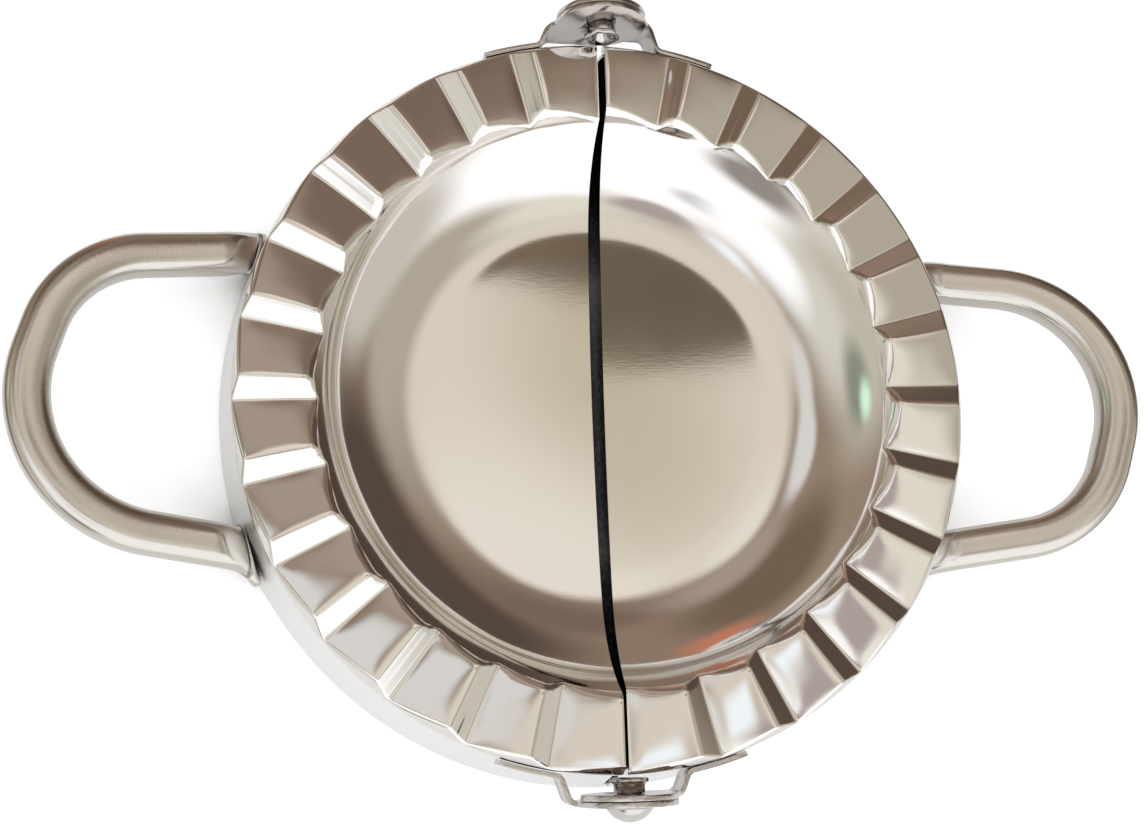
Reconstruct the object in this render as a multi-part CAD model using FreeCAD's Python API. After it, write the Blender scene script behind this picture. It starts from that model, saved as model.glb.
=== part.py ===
import FreeCAD, Part
import math
import os

from FreeCAD import Vector

# A hinged press for filled dough, lying open and flat on its cutting edge.
# Millimetres. The hinge axis runs along Y, one handle reaches to -X and one to +X.
# The origin is on the table under the middle of the hinge axis, and +Z is up.
# Both halves come from the same tools: the right half is the left half given
# half a turn about Z. Front is -Y and back is +Y.

# Rim: the pleated ring that crimps the dough
rim_radius = 47.5
rim_height = 16.0
sheet = 0.6
pleats_per_half = 14
pleat_rise = 1.5
riser_share = 0.26
edge_lean = 30.0
lip_drop = 1.0
lip_reach = 0.55

# Bowl: the hollow for the filling, inside the band that crimps
crimp_width = 10.6
bowl_rim_drop = 0.35
step_angle = 45.0
wall_angle = 60.0
wall_run = 1.13
knuckle_radius = 13.0
floor_edge_angle = 6.6
rim_gap = 0.7
floor_gap = 1.5

# Cutter skirt: the band under the rim, with the cutting edge
weld_gap = 0.05
skirt_gap = 0.9
flare_reach = 2.8
bevel_height = 0.9
cutting_edge = 0.22

# Handles: round bar bent to an uneven loop, with flattened ends on the skirt
bar_radius = 2.9
leg_root_gap = 0.5
leg_root_height = 7.2
handle_rise = 14.0
handle_length = 23.4
nose_lean = 17.0
nose_straight = 3.3
front_leg = {"spread": 18.1, "splay": 8.4}
back_leg = {"spread": 19.7, "splay": 6.7}
back_bend = 14.2
tab_drop = 1.2
tab_half_thickness = 1.05
tab_half_height = 3.4
tab_bend_run = 2.8
tab_length = 2.8
tab_overlap = 1.0
tab_ledge = 0.05
bend_section_shares = (0, 0.25, 0.5, 0.75, 1)
tab_length_shares = (0.5, 1)
tab_size_shares = (1, 0.6)

# Hinge plates: bent strips with a round ear
axis_rise = 0.7
plate = 0.65
ear_radius = 6.0
foot_gap = 0.1
ear_gap = 0.12
ear_side_gap = 1.0
plate_bend = 0.9
jog_run = 2.6
foot_length = 6.0
strip_top_drop = 1.6
ear_shoulder = 2.6

# Hinge rivets: domed head outside, rolled tail inside
shank_radius = 1.5
running_clearance = 0.07
head_radius = 3.0
head_height = 1.9
head_clearance = 0.1
tail_gap = 0.55
tail_spread = 0.8
tail_height = 1.3
tail_rim = 0.5
tail_neck_spread = 0.4
tail_mouth_radius = 1.2
tail_mouth_depth = 1.6

# One overrun for every cutting block
overrun = 3.0

# Levels and places that follow from the sizes above
low_level = rim_height - pleat_rise / 2
high_level = rim_height + pleat_rise / 2
bowl_rim_level = low_level - bowl_rim_drop
bowl_rim_radius = rim_radius - crimp_width
lip_level = low_level - lip_drop
lip_radius = rim_radius + lip_reach
edge_turn = math.radians(edge_lean)
edge_inset = sheet / math.cos(edge_turn)
edge_low_radius = rim_radius + (rim_height - low_level) * math.tan(edge_turn)
skirt_top = low_level - sheet - weld_gap
skirt_top_radius = edge_low_radius - edge_inset - weld_gap
skirt_edge_radius = skirt_top_radius + flare_reach
flare_turn = math.atan(flare_reach / (skirt_top - bevel_height))
leg_root_reach = skirt_edge_radius + leg_root_gap
plate_seat_radius = lip_radius + foot_gap
axis_level = rim_height + axis_rise
inner_ear_place = plate_seat_radius + tail_gap + tail_height + head_clearance
outer_ear_place = inner_ear_place + plate + ear_gap
jog_end = ear_radius + ear_side_gap
jog_start = jog_end + jog_run
foot_end = jog_start + foot_length
tail_radius = shank_radius + tail_spread
tail_neck_radius = shank_radius + tail_neck_spread
half_width = leg_root_reach + handle_length + bar_radius + overrun
origin = Vector(0, 0, 0)
x_axis = Vector(1, 0, 0)
y_axis = Vector(0, 1, 0)
z_axis = Vector(0, 0, 1)


def on_section(radius, level):
    """A point of a section that is turned about Z."""
    return Vector(radius, 0, level)


def on_ring(radius, degrees, level):
    """A point at an angle counted from +Y towards -X."""
    angle = math.radians(degrees)
    return Vector(-radius * math.sin(angle), radius * math.cos(angle), level)


def direction(start, end):
    return (end - start).normalize()


def half_turn_at(before, corner, after):
    return direction(before, corner).getAngle(direction(corner, after)) / 2


def closed_wire(points):
    return Part.makePolygon(points + points[:1])


def closed_face(points):
    return Part.Face(closed_wire(points))


def left_half_turn(face):
    """Turns a section through the left half, from +Y by way of -X to -Y."""
    ring = face.revolve(origin, z_axis, 180)
    ring.rotate(origin, z_axis, 90)
    return ring


def right_half_of(shape):
    copy = shape.copy()
    copy.rotate(origin, z_axis, 180)
    return copy


def mirrored_to_back(shape):
    return shape.mirror(origin, y_axis)


def rounded_path(points, bends):
    """Straight runs between the points, with a tangent arc of the given radius at each inner point."""
    edges = []
    start = points[0]
    for before, corner, after, bend in zip(points, points[1:], points[2:], bends):
        inward = direction(before, corner)
        onward = direction(corner, after)
        half_turn = half_turn_at(before, corner, after)
        cut_back = bend * math.tan(half_turn)
        to_centre = (onward - inward).normalize()
        centre = corner + to_centre * (bend / math.cos(half_turn))
        arc_start = corner - inward * cut_back
        arc_end = corner + onward * cut_back
        edges.append(Part.makeLine(start, arc_start))
        edges.append(Part.Arc(arc_start, centre - to_centre * bend, arc_end).toShape())
        start = arc_end
    edges.append(Part.makeLine(start, points[-1]))
    return edges


def behind_slit(upper_half_gap, upper_level, lower_half_gap, lower_level):
    """What lies right of the left half's end face. The face leans if its two half gaps differ."""
    lean = (lower_half_gap - upper_half_gap) / (upper_level - lower_level)
    top = high_level + overrun
    bottom = -overrun
    face = closed_face([
        Vector(-(upper_half_gap + lean * (upper_level - top)), -half_width, top),
        Vector(-(upper_half_gap + lean * (upper_level - bottom)), -half_width, bottom),
        Vector(half_width, -half_width, bottom),
        Vector(half_width, -half_width, top),
    ])
    return face.extrude(y_axis * (2 * half_width))


# The bowl's section is a bowed floor, a round knuckle and a straight wall, tangent in turn
floor_turn = math.radians(floor_edge_angle)
wall_turn = math.radians(wall_angle)
step_turn = math.radians(step_angle)
knuckle_run = knuckle_radius * (math.sin(wall_turn) - math.sin(floor_turn))
knuckle_rise = knuckle_radius * (math.cos(floor_turn) - math.cos(wall_turn))
floor_radius = bowl_rim_radius - wall_run - knuckle_run
floor_curve = floor_radius / math.sin(floor_turn)
floor_bow = floor_curve * (1 - math.cos(floor_turn))
wall_rise = wall_run * math.tan(wall_turn)
floor_level = bowl_rim_level - wall_rise - knuckle_rise - floor_bow


def bowl_arcs(offset):
    """Floor and knuckle arcs of the face that lies offset outside the hollow."""
    knuckle_centre = on_section(floor_radius - knuckle_radius * math.sin(floor_turn),
                                floor_level + floor_bow + knuckle_radius * math.cos(floor_turn))

    def arc(centre, radius, first_turn, last_turn):
        turns = (first_turn, (first_turn + last_turn) / 2, last_turn)
        return [centre + on_section(radius * math.sin(turn), -radius * math.cos(turn)) for turn in turns]

    floor_arc = arc(on_section(0, floor_level + floor_curve), floor_curve + offset, 0, floor_turn)
    knuckle_arc = arc(knuckle_centre, knuckle_radius + offset, floor_turn, wall_turn)
    return floor_arc, knuckle_arc


# Where the bowl's sheet ends and the rim's begins, on the upper and the under side
joint_top = on_section(bowl_rim_radius, bowl_rim_level)
joint_width = sheet / math.cos((wall_turn - step_turn) / 2)
joint_turn = (wall_turn + step_turn) / 2
joint_under = joint_top + on_section(joint_width * math.sin(joint_turn), -joint_width * math.cos(joint_turn))


def bowl_sheet():
    floor_arc, knuckle_arc = bowl_arcs(0)
    under_floor_arc, under_knuckle_arc = bowl_arcs(sheet)
    section = Part.Wire([
        Part.Arc(*floor_arc).toShape(),
        Part.Arc(*knuckle_arc).toShape(),
        Part.makeLine(knuckle_arc[-1], joint_top),
        Part.makeLine(joint_top, joint_under),
        Part.makeLine(joint_under, under_knuckle_arc[-1]),
        Part.Arc(*reversed(under_knuckle_arc)).toShape(),
        Part.Arc(*reversed(under_floor_arc)).toShape(),
        Part.makeLine(under_floor_arc[0], floor_arc[0]),
    ])
    return left_half_turn(Part.Face(section))


def pleat_block(drop):
    """A half ring under the saw-toothed surface of the rim, lowered by drop.

    Each pleat climbs from its low end to its high end, counted from +Y towards -X,
    and a short riser leads down to the next one."""
    pitch = 180 / pleats_per_half
    half_riser = riser_share * pitch / 2
    inside = bowl_rim_radius - overrun
    outside = lip_radius + overrun
    bottom = lip_level - overrun
    sections = []
    for number in range(pleats_per_half):
        start = number * pitch + (half_riser if number else 0)
        end = (number + 1) * pitch - (half_riser if number < pleats_per_half - 1 else 0)
        for turn, level in ((start, low_level - drop), (end, high_level - drop)):
            sections.append(closed_wire([on_ring(inside, turn, bottom), on_ring(outside, turn, bottom),
                                         on_ring(outside, turn, level), on_ring(inside, turn, level)]))
    return Part.makeLoft(sections, True, True)


def pleated_rim():
    """The rim's sheet: the pleated top between the sloping step at the bowl and the lip outside."""
    top = high_level + overrun
    step_run = (top - bowl_rim_level) / math.tan(step_turn)
    edge_top = on_section(edge_low_radius - (top - low_level) * math.tan(edge_turn), top)
    edge_low = on_section(edge_low_radius, low_level)
    under_step_top = joint_under + on_section((top - joint_under.z) / math.tan(step_turn), top - joint_under.z)
    inset = on_section(edge_inset, 0)
    below = on_section(0, overrun)
    lip_end = on_section(lip_radius, lip_level)
    lip_inner = lip_end - on_section(sheet, 0)
    envelope = closed_face([
        joint_top, joint_top + on_section(step_run, top - bowl_rim_level), edge_top, edge_low, lip_end,
        on_section(joint_under.x, lip_level), joint_under,
    ])
    hollow = closed_face([
        joint_under, under_step_top, edge_top - inset, edge_low - inset, lip_inner, lip_inner - below,
        on_section(joint_under.x, lip_level) - below,
    ])
    solid_rim = left_half_turn(envelope).common(pleat_block(0))
    return solid_rim.cut(left_half_turn(hollow).common(pleat_block(sheet)))


def left_bowl():
    body = bowl_sheet().fuse(pleated_rim()).removeSplitter()
    return body.cut(behind_slit(rim_gap / 2, rim_height, floor_gap / 2, floor_level))


def skirt_radius(level):
    """The skirt's outer radius at a level of its flared band."""
    return skirt_edge_radius - (level - bevel_height) * math.tan(flare_turn)


def skirt_outline(offset):
    """The outer side of the skirt's section, from its top to the cutting edge, moved out by offset."""
    return [
        on_section(skirt_top_radius + offset, skirt_top),
        on_section(skirt_edge_radius + offset, bevel_height),
        on_section(skirt_edge_radius - sheet + cutting_edge + offset, 0),
    ]


def left_cutter_skirt():
    section = skirt_outline(0) + [
        on_section(skirt_edge_radius - sheet, 0),
        on_section(skirt_edge_radius - sheet, bevel_height),
        on_section(skirt_top_radius - sheet, skirt_top),
    ]
    return left_half_turn(closed_face(section)).cut(behind_slit(skirt_gap / 2, rim_height, skirt_gap / 2, 0))


def skirt_core():
    """All that lies inside the seat of the handles on the skirt."""
    section = skirt_outline(weld_gap) + [on_section(0, 0), on_section(0, skirt_top)]
    return closed_face(section).revolve(origin, z_axis, 360)


def crossing(point, along, other, other_along):
    """Where two lines in the XY plane meet."""
    offset = other - point
    bend = along.x * other_along.y - along.y * other_along.x
    return point + along * ((offset.x * other_along.y - offset.y * other_along.x) / bend)


def in_handle_plane(point):
    """From the flat drawing of the loop, X outwards from the legs' roots, to its sloping place."""
    slope = math.radians(handle_rise)
    return Vector(-leg_root_reach - point.x * math.cos(slope), point.y,
                  leg_root_height + point.x * math.sin(slope))


def handle_corners():
    """The loop's four corner points: front root, front bend, back bend and back root."""
    lean = math.radians(nose_lean)
    nose = Vector(handle_length, 0, 0)
    nose_along = Vector(-math.sin(lean), math.cos(lean), 0)
    roots = []
    bends = []
    for side, leg in ((-1, front_leg), (1, back_leg)):
        splay = math.radians(leg["splay"])
        root = Vector(0, side * leg["spread"], 0)
        leg_along = Vector(math.cos(splay), -side * math.sin(splay), 0)
        roots.append(in_handle_plane(root))
        bends.append(in_handle_plane(crossing(root, leg_along, nose, nose_along)))
    return [roots[0], bends[0], bends[1], roots[1]]


def oval_wire(centre, across, upwards, half_thickness, half_height):
    """A section with its thickness along across and its height along upwards."""
    if half_height > half_thickness:
        curve = Part.Ellipse(origin, half_height, half_thickness)
    else:
        curve = Part.Circle(origin, z_axis, half_thickness)
    wire = Part.Wire([curve.toShape()])
    wire.Placement = FreeCAD.Placement(centre, FreeCAD.Rotation(upwards, across, upwards.cross(across), "XYZ"))
    return wire


def handle_tab(root, inward, side):
    """From the round bar round a bend to a flat tab on the skirt, turned away from the loop."""
    level_inward = Vector(inward.x, inward.y, 0).normalize()
    leg_across = Vector(-level_inward.y, level_inward.x, 0) * side
    # The tab's middle line, and where the leg's middle line meets it in plan
    root_gap = math.hypot(root.x, root.y) - skirt_edge_radius
    tab_level = root.z - tab_drop - root_gap * math.tan(math.radians(handle_rise))
    seat = skirt_radius(tab_level) + tab_half_thickness / math.cos(flare_turn)
    towards = root.x * level_inward.x + root.y * level_inward.y
    run = -towards - math.sqrt(towards ** 2 - (root.x ** 2 + root.y ** 2 - seat ** 2))
    corner = root + inward * (run / inward.dot(level_inward))
    corner.z = (corner.z + tab_level) / 2
    corner_turn = math.atan2(side * corner.y, -corner.x)

    def section(centre, tangent, across, half_thickness, half_height):
        upwards = (across.cross(tangent) * -side).normalize()
        return oval_wire(centre, across, upwards, half_thickness, half_height)

    def on_tab(length):
        """A point of the tab's middle line, its direction and the one away from the skirt."""
        turn = corner_turn + length / seat
        out = Vector(-math.cos(turn), side * math.sin(turn), 0)
        along = Vector(math.sin(turn), side * math.cos(turn), 0)
        return out * seat + z_axis * tab_level, along, out * math.cos(flare_turn) + z_axis * math.sin(flare_turn)

    tab_start, tab_along, tab_across = on_tab(tab_bend_run)
    start_radius = bar_radius - tab_ledge
    sections = [section(root - inward * tab_overlap, inward, leg_across, start_radius, start_radius)]
    for share in bend_section_shares:
        centre = (root * (1 - share) ** 2 + corner * (2 * share * (1 - share)) + tab_start * share ** 2)
        tangent = (corner - root) * (1 - share) + (tab_start - corner) * share
        across = (leg_across * (1 - share) + tab_across * share).normalize()
        flat_share = share ** 2 * (3 - 2 * share)
        sections.append(section(centre, tangent.normalize(), across,
                                start_radius + (tab_half_thickness - start_radius) * flat_share,
                                start_radius + (tab_half_height - start_radius) * flat_share))
    for length_share, size_share in zip(tab_length_shares, tab_size_shares):
        centre, along, across = on_tab(tab_bend_run + tab_length * length_share)
        sections.append(section(centre, along, across, tab_half_thickness * size_share,
                                tab_half_height * size_share))
    return Part.makeLoft(sections, True, False)


def left_handle():
    corners = handle_corners()
    # The front bend takes what the back bend and the straight stretch leave of the nose
    back_run = back_bend * math.tan(half_turn_at(*corners[1:]))
    front_run = corners[1].distanceToPoint(corners[2]) - nose_straight - back_run
    front_bend = front_run / math.tan(half_turn_at(*corners[:3]))
    path = Part.Wire(rounded_path(corners, [front_bend, back_bend]))
    start_ring = Part.Wire([Part.Circle(corners[0], direction(corners[0], corners[1]), bar_radius).toShape()])
    bar = path.makePipeShell([start_ring], True, False)
    tabs = [
        handle_tab(corners[0], direction(corners[1], corners[0]), -1),
        handle_tab(corners[3], direction(corners[2], corners[3]), 1),
    ]
    return bar.fuse(tabs).cut(skirt_core())


def ear_outline():
    """The side view of a hinge plate: a strip that ends in a round ear on the hinge axis."""
    shoulder_reach = ear_radius + ear_shoulder
    shoulder_drop = ear_shoulder - strip_top_drop
    shoulder = Vector(-math.sqrt(shoulder_reach ** 2 - shoulder_drop ** 2), 0, shoulder_drop)
    strip_side = shoulder - z_axis * ear_shoulder
    ear_side = shoulder * (ear_radius / shoulder_reach)
    towards_corner = ((strip_side - shoulder) + (ear_side - shoulder)).normalize()
    ear_bottom = z_axis * -ear_radius
    far = x_axis * -(foot_end + overrun)
    wire = Part.Wire([
        Part.makeLine(far + ear_bottom, ear_bottom),
        Part.Arc(ear_bottom, x_axis * ear_radius, ear_side).toShape(),
        Part.Arc(ear_side, shoulder + towards_corner * ear_shoulder, strip_side).toShape(),
        Part.makeLine(strip_side, far - z_axis * strip_top_drop),
        Part.makeLine(far - z_axis * strip_top_drop, far + ear_bottom),
    ])
    face = Part.Face(wire)
    face.translate(z_axis * axis_level)
    return face


def hinge_plate(ear_place):
    """The left half's front plate, with its ear's inner face at ear_place in front of the middle."""
    foot_radius = plate_seat_radius + plate / 2
    bottom = axis_level - ear_radius

    def on_foot(reach):
        return Vector(-reach, -math.sqrt(foot_radius ** 2 - reach ** 2), bottom)

    def section_side(radius, level):
        point = on_foot(foot_end)
        out = Vector(point.x, point.y, 0).normalize()
        return out * radius + z_axis * level

    foot_start = on_foot(jog_start)
    foot_along = Vector(-foot_start.y, foot_start.x, 0).normalize()
    ear_line = -(ear_place + plate / 2)
    corners = [
        foot_start,
        foot_start + foot_along * (plate_bend + plate),
        Vector(-jog_end, ear_line, bottom),
        Vector(ear_radius + overrun, ear_line, bottom),
    ]
    bend = plate_bend + plate / 2
    foot = Part.Arc(on_foot(foot_end), on_foot((foot_end + jog_start) / 2), foot_start).toShape()
    path = Part.Wire([foot] + rounded_path(corners, [bend, bend]))
    inner = foot_radius - plate / 2
    outer = foot_radius + plate / 2
    top = axis_level + ear_radius
    blank = closed_wire([section_side(inner, bottom), section_side(outer, bottom),
                         section_side(outer, top), section_side(inner, top)])
    strip = path.makePipeShell([blank], True, False)
    outline = ear_outline().extrude(y_axis * -half_width)
    hole_radius = shank_radius + running_clearance
    hole = Part.makeCylinder(hole_radius, half_width, z_axis * axis_level, y_axis * -1)
    return strip.common(outline).cut(hole)


def front_rivet():
    """Turned about the hinge axis: a domed head in front, a shank, and a tail rolled over inside."""
    head_seat = outer_ear_place + plate + head_clearance
    tail_seat = inner_ear_place - head_clearance
    dome = (head_radius ** 2 + head_height ** 2) / (2 * head_height)
    dome_turn = math.asin(head_radius / dome) / 2
    tail_top = tail_seat - tail_height

    def place(radius, reach):
        return Vector(radius, -reach, 0)

    dome_centre = head_seat + head_height - dome
    dome_side = place(dome * math.sin(dome_turn), dome_centre + dome * math.cos(dome_turn))
    tail_lip = tail_top + tail_rim
    section = Part.Wire([
        Part.makeLine(place(0, head_seat + head_height), place(0, tail_top + tail_mouth_depth)),
        Part.makeLine(place(0, tail_top + tail_mouth_depth), place(tail_mouth_radius, tail_top)),
        Part.makeLine(place(tail_mouth_radius, tail_top), place(tail_radius - tail_rim / 2, tail_top)),
        Part.Arc(place(tail_radius - tail_rim / 2, tail_top), place(tail_radius, tail_top + tail_rim / 2),
                 place(tail_radius - tail_rim / 2, tail_lip)).toShape(),
        Part.makeLine(place(tail_radius - tail_rim / 2, tail_lip), place(tail_neck_radius, tail_seat)),
        Part.makeLine(place(tail_neck_radius, tail_seat), place(shank_radius, tail_seat)),
        Part.makeLine(place(shank_radius, tail_seat), place(shank_radius, head_seat)),
        Part.makeLine(place(shank_radius, head_seat), place(head_radius, head_seat)),
        Part.Arc(place(head_radius, head_seat), dome_side, place(0, head_seat + head_height)).toShape(),
    ])
    rivet = Part.Face(section).revolve(origin, y_axis, 360)
    rivet.translate(z_axis * axis_level)
    return rivet


def build():
    outer_plate = hinge_plate(outer_ear_place)
    inner_plate = mirrored_to_back(hinge_plate(inner_ear_place))
    halves = {
        "bowl": left_bowl(),
        "cutting_ring": left_cutter_skirt(),
        "handle": left_handle(),
        "outer_hinge_plate": outer_plate,
        "inner_hinge_plate": inner_plate,
    }
    nodes = {}
    for name, shape in halves.items():
        nodes["left_" + name] = shape
        nodes["right_" + name] = right_half_of(shape)
    nodes["front_hinge_rivet"] = front_rivet()
    nodes["back_hinge_rivet"] = right_half_of(front_rivet())
    return nodes


os.makedirs("parts", exist_ok=True)
for node, solid in build().items():
    solid.exportStep("parts/" + node + ".step")
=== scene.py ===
import math
from contextlib import contextmanager
from functools import partial

import bmesh
import bpy
from mathutils import Euler, Matrix, Vector


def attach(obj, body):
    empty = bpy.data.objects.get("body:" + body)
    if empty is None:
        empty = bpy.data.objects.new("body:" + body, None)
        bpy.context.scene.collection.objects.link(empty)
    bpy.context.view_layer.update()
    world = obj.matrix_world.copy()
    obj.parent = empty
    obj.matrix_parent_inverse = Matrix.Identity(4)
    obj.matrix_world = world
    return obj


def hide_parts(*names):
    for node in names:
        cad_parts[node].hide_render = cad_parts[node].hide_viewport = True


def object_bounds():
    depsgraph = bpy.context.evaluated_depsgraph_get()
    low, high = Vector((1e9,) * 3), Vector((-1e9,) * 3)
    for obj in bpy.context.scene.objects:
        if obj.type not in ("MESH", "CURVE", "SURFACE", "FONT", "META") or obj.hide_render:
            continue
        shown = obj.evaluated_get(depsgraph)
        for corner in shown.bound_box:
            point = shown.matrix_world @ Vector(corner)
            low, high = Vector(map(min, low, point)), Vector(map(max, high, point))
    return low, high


# A stainless steel dough press, lying open. Sizes are in millimetres, and meshes are scaled by mm.
mm = 0.001
weldReach = 0.002 * mm
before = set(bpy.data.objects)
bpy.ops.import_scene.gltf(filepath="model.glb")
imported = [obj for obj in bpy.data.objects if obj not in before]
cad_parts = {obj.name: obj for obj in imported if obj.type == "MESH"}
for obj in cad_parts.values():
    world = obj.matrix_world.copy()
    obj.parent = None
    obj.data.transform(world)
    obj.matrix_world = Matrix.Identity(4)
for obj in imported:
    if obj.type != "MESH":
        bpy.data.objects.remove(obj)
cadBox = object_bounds()
halfTurn = Matrix.Rotation(math.pi, 4, "Z")
print("frame loaded")


# Small helpers for node trees

def plug(tree, socket, value):
    if isinstance(value, bpy.types.NodeSocket):
        tree.links.new(value, socket)
    else:
        socket.default_value = value


def newNode(tree, kind, values=None, **settings):
    node = tree.nodes.new(kind)
    for name, setting in settings.items():
        setattr(node, name, setting)
    for name, value in (values or {}).items():
        plug(tree, node.inputs[name], value)
    return node


def mathNode(tree, operation, *values):
    return newNode(tree, "ShaderNodeMath", dict(enumerate(values)), operation=operation).outputs[0]


def vectorNode(tree, operation, *values):
    node = newNode(tree, "ShaderNodeVectorMath", dict(enumerate(values)), operation=operation)
    return node.outputs["Value"] if operation == "LENGTH" else node.outputs[0]


def scaledVector(tree, vector, factor):
    return newNode(tree, "ShaderNodeVectorMath", {0: vector, "Scale": factor}, operation="SCALE").outputs[0]


def smoothRamp(tree, value, limits, ends):
    names = ("Value", "From Min", "From Max", "To Min", "To Max")
    node = newNode(tree, "ShaderNodeMapRange", dict(zip(names, (value, *limits, *ends))),
                   interpolation_type="SMOOTHSTEP")
    return node.outputs["Result"]


def colourMix(tree, factor, under, over):
    node = newNode(tree, "ShaderNodeMix", {"Factor": factor}, data_type="RGBA")
    # The colour sockets go by number, because their names come more than once
    for socket, colour in ((node.inputs[6], under), (node.inputs[7], over)):
        plug(tree, socket, colour if isinstance(colour, bpy.types.NodeSocket) else (*colour, 1))
    return node.outputs[2]


def newMaterial(name):
    material = bpy.data.materials.new(name)
    material.use_nodes = True
    return material, material.node_tree, material.node_tree.nodes["Principled BSDF"]


# Small helpers for meshes and pieces

def linkedObject(name, data):
    made = bpy.data.objects.new(name, data)
    bpy.context.scene.collection.objects.link(made)
    return made


def newPiece(name, mesh, material, body, slot, *nodes):
    piece = linkedObject(name, mesh)
    mesh.materials.clear()
    mesh.materials.append(material)
    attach(piece, body)
    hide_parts(*nodes)


@contextmanager
def edited(mesh):
    shape = bmesh.new()
    shape.from_mesh(mesh)
    yield shape
    shape.to_mesh(mesh)
    shape.free()


def applyModifiers(piece):
    graph = bpy.context.evaluated_depsgraph_get()
    mesh = bpy.data.meshes.new_from_object(piece.evaluated_get(graph))
    piece.modifiers.clear()
    piece.data = mesh
    return mesh


def finishedMesh(piece):
    mesh = applyModifiers(piece)
    bpy.data.objects.remove(piece)
    return mesh


def soften(piece, width, angle):
    piece.data.shade_smooth()
    bevel = piece.modifiers.new("edges", "BEVEL")
    bevel.limit_method = "ANGLE"
    bevel.angle_limit = math.radians(angle)
    bevel.width = width * mm
    bevel.segments = 2
    bevel.harden_normals = True


def turnedCopy(mesh, name):
    copy = mesh.copy()
    copy.name = name
    copy.transform(halfTurn)
    return copy


# Helpers for the trees that lay a grid of points along an outline, one row for each point of the outline

def shapeTree(name, counts, sizes):
    tree = bpy.data.node_groups.new(name, "GeometryNodeTree")
    numbers = [(count, "Int") for count in counts] + [(size, "Float") for size in sizes]
    for socket, kind in (("Outline", "Geometry"), *numbers, ("Steel", "Material")):
        tree.interface.new_socket(socket, in_out="INPUT", socket_type="NodeSocket" + kind)
    tree.interface.new_socket("Piece", in_out="OUTPUT", socket_type="NodeSocketGeometry")
    return tree, newNode(tree, "NodeGroupInput").outputs


def gridAlong(tree, outline, columns):
    calc = partial(mathNode, tree)
    rows = newNode(tree, "GeometryNodeAttributeDomainSize", {"Geometry": outline}).outputs["Point Count"]
    grid = newNode(tree, "GeometryNodeMeshGrid", {"Vertices X": rows, "Vertices Y": columns}).outputs["Mesh"]
    index = newNode(tree, "GeometryNodeInputIndex").outputs[0]
    row = calc("FLOOR", calc("DIVIDE", calc("ADD", index, 0.5), columns))
    return grid, row, calc("SUBTRACT", index, calc("MULTIPLY", row, columns))


def sampled(tree, outline, row, kind, value):
    return newNode(tree, "GeometryNodeSampleIndex", {"Geometry": outline, "Value": value, "Index": row},
                   data_type=kind).outputs["Value"]


def endTree(tree, grid, place, steel):
    # Each point of the grid moves to its place, and points that meet are welded
    geometry = grid
    for kind, values in (("GeometryNodeSetPosition", {"Position": place}),
                         ("GeometryNodeMergeByDistance", {"Distance": weldReach}),
                         ("GeometryNodeRealizeInstances", {}),
                         ("GeometryNodeSetMaterial", {"Material": steel})):
        geometry = newNode(tree, kind, {"Geometry": geometry, **values}).outputs["Geometry"]
    newNode(tree, "NodeGroupOutput", {"Piece": geometry})
    return tree


def shapedPiece(name, outline, tree, values):
    piece = linkedObject(name, outline)
    modifier = piece.modifiers.new("shape", "NODES")
    modifier.node_group = tree
    # A modifier's inputs go by the sockets' identifiers
    for item in tree.interface.items_tree:
        if item.in_out == "INPUT" and item.name in values:
            modifier[item.identifier] = values[item.name]
    return piece


# Finishes: a fine grain in the surface, and clouds that run from smooth to rough

stamped = {"colour": (0.80, 0.775, 0.745), "grain": 0.3, "grainStretch": (0.2, 1, 1), "cloud": 14.0,
           "smooth": 0.035, "rough": 0.09, "bump": 0.003}
skirtSteel = {"colour": (0.92, 0.92, 0.92), "grain": 0.5, "grainStretch": (1, 1, 0.05), "cloud": 9.0,
              "smooth": 0.26, "rough": 0.40, "bump": 0.12}
barSteel = {"colour": (0.64, 0.605, 0.56), "grain": 0.35, "grainStretch": (1, 1, 1), "cloud": 5.0,
            "smooth": 0.11, "rough": 0.25, "bump": 0.03}
plateSteel = {"colour": (0.58, 0.55, 0.535), "grain": 0.3, "grainStretch": (0.1, 1, 1), "cloud": 3.0,
              "smooth": 0.10, "rough": 0.24, "bump": 0.05}
rivetSteel = {"colour": (0.62, 0.60, 0.58), "grain": 0.3, "grainStretch": (1, 1, 1), "cloud": 3.0,
              "smooth": 0.10, "rough": 0.20, "bump": 0.01}
grainDetail, cloudDetail = 2.0, 3.0


def steelMaterial(name, look):
    material, tree, shader = newMaterial(name)
    grainSize = look["grain"] * mm
    place = newNode(tree, "ShaderNodeTexCoord").outputs["Object"]
    stretched = newNode(tree, "ShaderNodeMapping", {"Vector": place, "Scale": look["grainStretch"]})
    grain = newNode(tree, "ShaderNodeTexNoise", {
        "Vector": stretched.outputs["Vector"], "Scale": 1 / grainSize, "Detail": grainDetail})
    cloud = newNode(tree, "ShaderNodeTexNoise", {
        "Vector": place, "Scale": 1 / (look["cloud"] * mm), "Detail": cloudDetail})
    spread = newNode(tree, "ShaderNodeMapRange", {
        "Value": cloud.outputs["Fac"], "To Min": look["smooth"], "To Max": look["rough"]})
    bump = newNode(tree, "ShaderNodeBump", {
        "Height": grain.outputs["Fac"], "Strength": look["bump"], "Distance": grainSize})
    for socket, value in (("Metallic", 1.0), ("Base Color", (*look["colour"], 1)),
                          ("Roughness", spread.outputs["Result"]), ("Normal", bump.outputs["Normal"])):
        plug(tree, shader.inputs[socket], value)
    return material


polishedSteel = steelMaterial("polishedStampedSteel", stamped)
ringSteel = steelMaterial("fineBrushedRingSteel", skirtSteel)
satinSteel = steelMaterial("satinBarSteel", barSteel)
hingeSteel = steelMaterial("polishedPlateSteel", plateSteel)
brightSteel = steelMaterial("brightRivetSteel", rivetSteel)
print("finishes made")


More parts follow.
